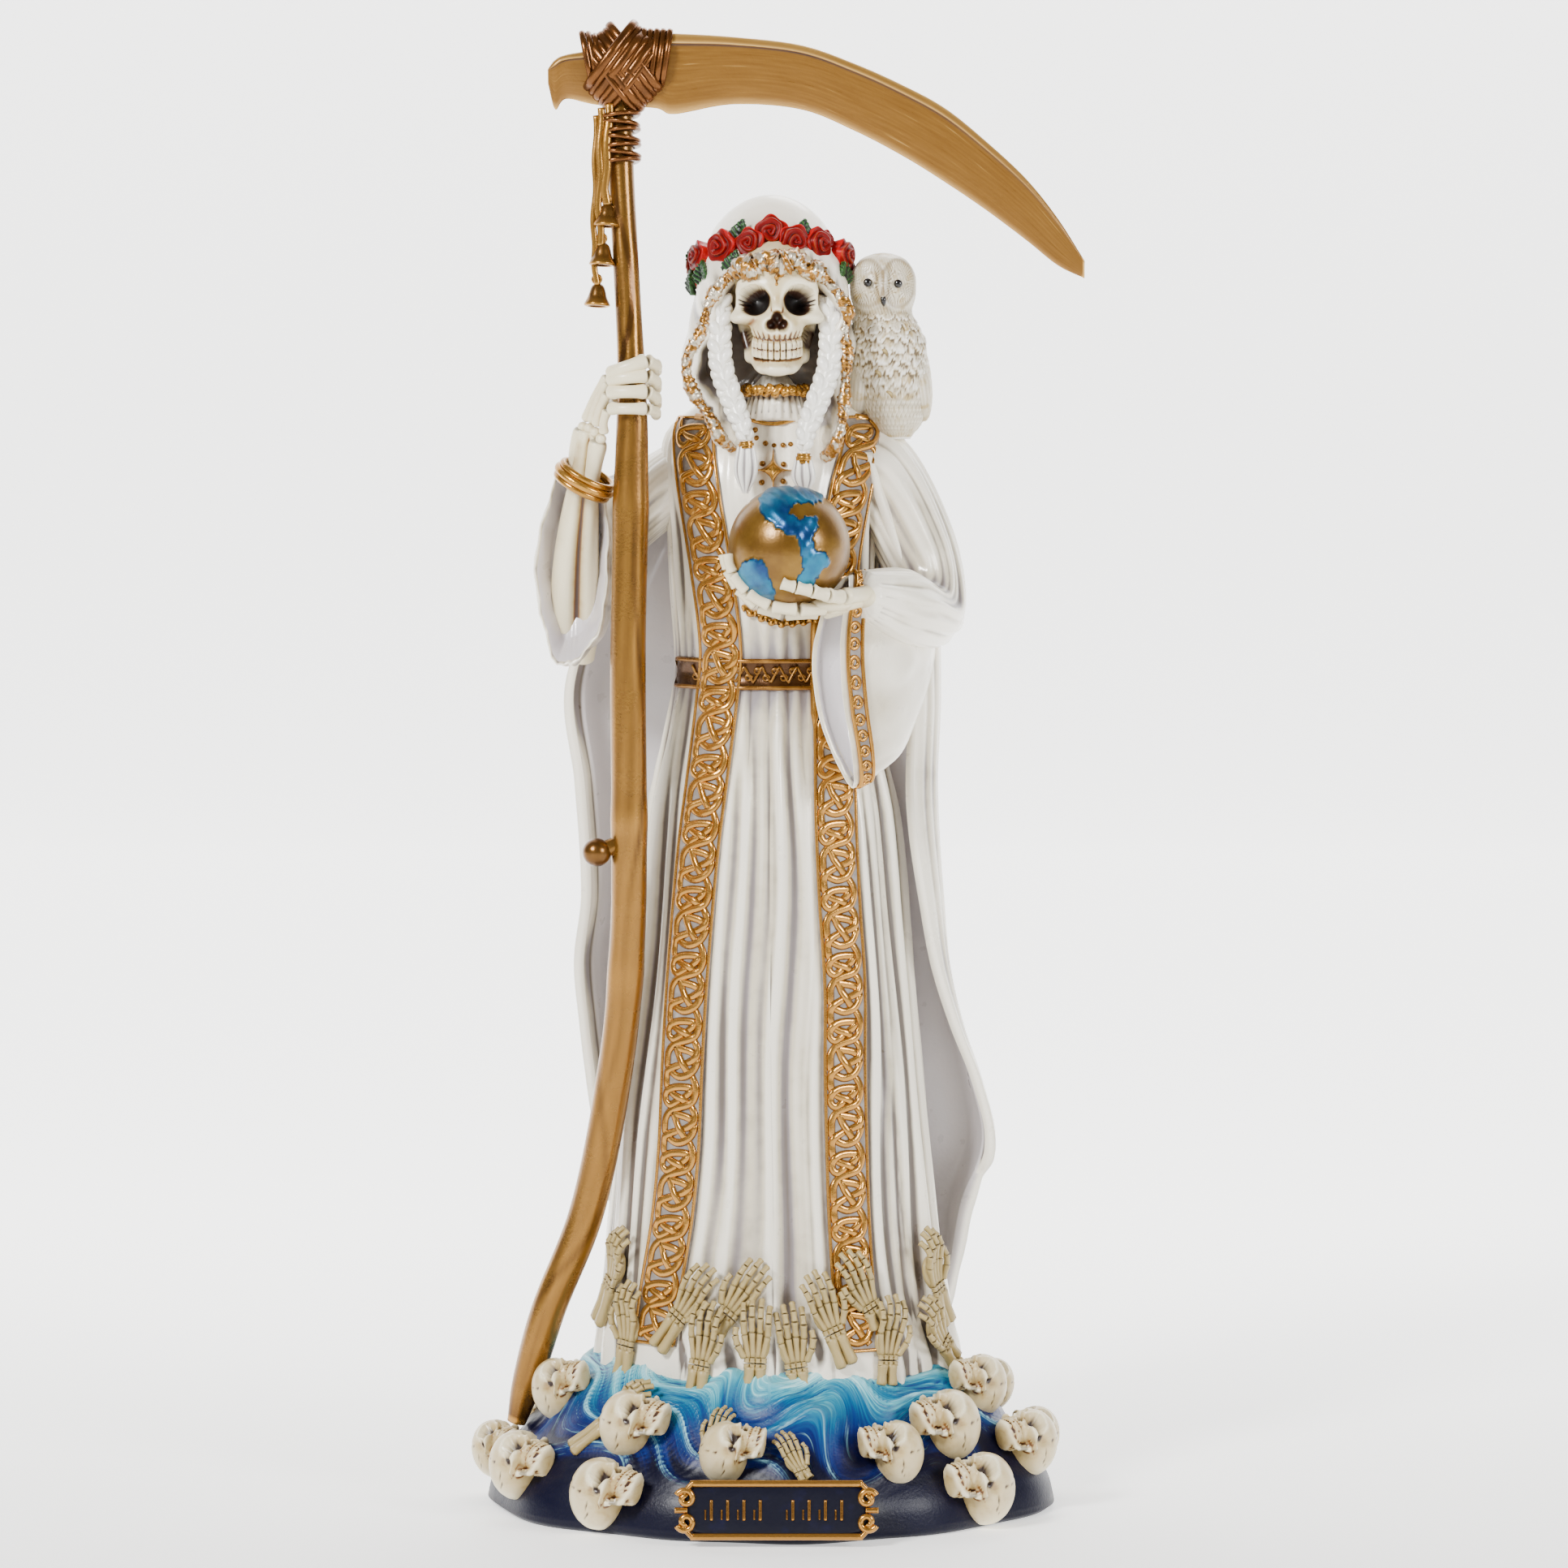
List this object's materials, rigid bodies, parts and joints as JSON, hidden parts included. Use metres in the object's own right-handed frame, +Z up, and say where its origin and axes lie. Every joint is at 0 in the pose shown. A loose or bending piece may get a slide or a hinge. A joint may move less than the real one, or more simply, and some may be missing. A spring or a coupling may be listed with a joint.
{
  "type": "robed skeleton saint statue",
  "caption": "Cast resin figure of a robed skeleton with a scythe and a globe, on a base of waves and skulls, with an owl on the shoulder.",
  "frame": {"origin": "middle of the flat underside", "axes": "+Z up, the figure and its name plate face -Y, +X is the figure's left"},
  "size_m": [0.1698, 0.1298, 0.4061],
  "materials": {
    "painted_resin": "pearl white paint, with bone, blue, red and gold, satin",
    "gold_resin": "antiqued gold paint, satin"
  },
  "bodies": {
    "root": {"statue": "painted_resin", "scythe": "gold_resin"}
  },
  "joints": []
}
